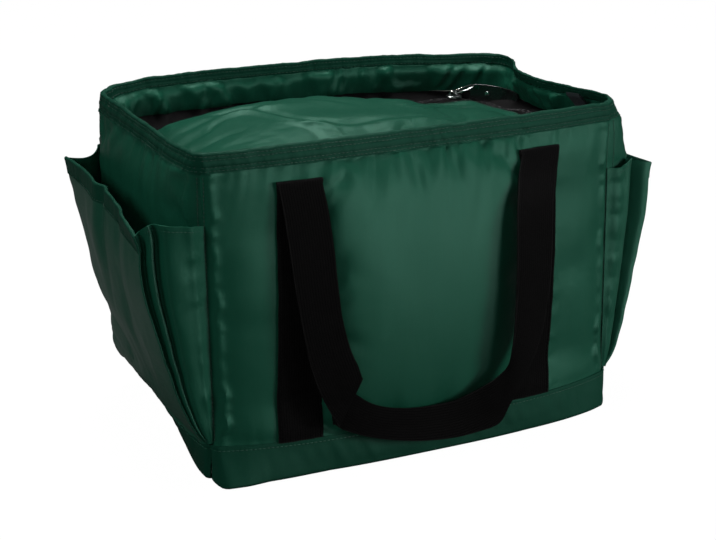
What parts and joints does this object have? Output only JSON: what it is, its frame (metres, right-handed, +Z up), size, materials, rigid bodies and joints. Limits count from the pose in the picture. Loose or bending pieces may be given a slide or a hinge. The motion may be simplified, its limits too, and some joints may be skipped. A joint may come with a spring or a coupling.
{
  "type": "cooler bag",
  "caption": "Insulated fabric cooler bag with a recessed zipped lid, webbing carry handles and bellows end pockets.",
  "frame": {"origin": "centre of the base on the surface that the bag stands on", "axes": "+X along the bag's width, to the right as seen from the front; +Y to the back; +Z up"},
  "size_m": [0.505, 0.3237, 0.285],
  "materials": {
    "green_nylon": "satin coated nylon, dark green",
    "black_webbing": "ribbed polypropylene webbing, black",
    "black_tape": "woven zip tape and ribbon, black",
    "zip_coil": "nylon coil, black",
    "bright_metal": "nickel plated, polished",
    "pull_strap": "smooth black strap",
    "foil_lining": "silver lining film",
    "insulation_foam": "closed-cell foam sheet",
    "stiff_board": "grey board"
  },
  "bodies": {
    "bag": {"base_panel": "green_nylon", "base_board": "stiff_board", "base_foam": "insulation_foam", "base_band_front": "green_nylon", "base_band_back": "green_nylon", "base_band_left": "green_nylon", "base_band_right": "green_nylon", "front_panel": "green_nylon", "back_panel": "green_nylon", "left_end_panel": "green_nylon", "right_end_panel": "green_nylon", "front_wall_foam": "insulation_foam", "back_wall_foam": "insulation_foam", "left_wall_foam": "insulation_foam", "right_wall_foam": "insulation_foam", "lining_tub": "foil_lining", "collar_facing": "green_nylon", "rim_hem": "green_nylon", "collar_zip_tape": "black_tape", "collar_zip_comb": "zip_coil", "lid_hinge_strip": "green_nylon", "zip_stop_left": "black_tape", "zip_stop_right": "black_tape", "zip_end_tab": "black_tape", "front_strap_left": "black_webbing", "front_strap_right": "black_webbing", "back_strap_left": "black_webbing", "back_strap_right": "black_webbing", "left_pocket_front_gusset": "green_nylon", "left_pocket_back_gusset": "green_nylon", "right_pocket_front_gusset": "green_nylon", "right_pocket_back_gusset": "green_nylon"},
    "lid": {"lid_cover": "green_nylon", "lid_foam": "insulation_foam", "lid_lining": "foil_lining", "lid_zip_tape": "black_tape", "lid_zip_comb": "zip_coil"},
    "slider": {"zip_slider": "bright_metal"},
    "pull": {"zip_pull_ring": "bright_metal", "zip_pull_rivet": "bright_metal", "zip_pull_tab": "pull_strap"},
    "front_handle": {"front_handle_loop": "black_webbing"},
    "back_handle": {"back_handle_loop": "black_webbing"},
    "left_pocket": {"left_pocket_panel": "green_nylon", "left_pocket_hem": "green_nylon"},
    "right_pocket": {"right_pocket_panel": "green_nylon", "right_pocket_hem": "green_nylon"}
  },
  "joints": [
    {"name": "lid_hinge", "type": "hinge", "parent": "bag", "child": "lid", "pos_m": [0, -0.08985, 0.24935], "axis": [1, 0, 0], "range_deg": [0, 92], "deforming": ["lid_zip_tape", "lid_zip_comb"]},
    {"name": "zip_slide", "type": "slide", "parent": "bag", "child": "slider", "axis": [1, 0, 0], "range_m": [-0.31, 0], "deforming": ["zip_pull_tab"]},
    {"name": "pull_swing", "type": "hinge", "parent": "slider", "child": "pull", "pos_m": [0.155, 0.1068, 0.254], "axis": [0, -1, 0], "range_deg": [0, 95]},
    {"name": "front_handle_swing", "type": "hinge", "parent": "bag", "child": "front_handle", "pos_m": [0, -0.1277, 0.2543], "axis": [-1, 0, 0], "range_deg": [0, 172]},
    {"name": "back_handle_swing", "type": "hinge", "parent": "bag", "child": "back_handle", "pos_m": [0, 0.1348, 0.2543], "axis": [1, 0, 0], "range_deg": [0, 172]},
    {"name": "left_pocket_flex", "type": "hinge", "parent": "bag", "child": "left_pocket", "pos_m": [-0.2035, 0, 0.0325], "axis": [0, -1, 0], "range_deg": [-5, 10], "deforming": ["left_pocket_front_gusset", "left_pocket_back_gusset"]},
    {"name": "right_pocket_flex", "type": "hinge", "parent": "bag", "child": "right_pocket", "pos_m": [0.2035, 0, 0.0325], "axis": [0, 1, 0], "range_deg": [-5, 10], "deforming": ["right_pocket_front_gusset", "right_pocket_back_gusset"]}
  ]
}
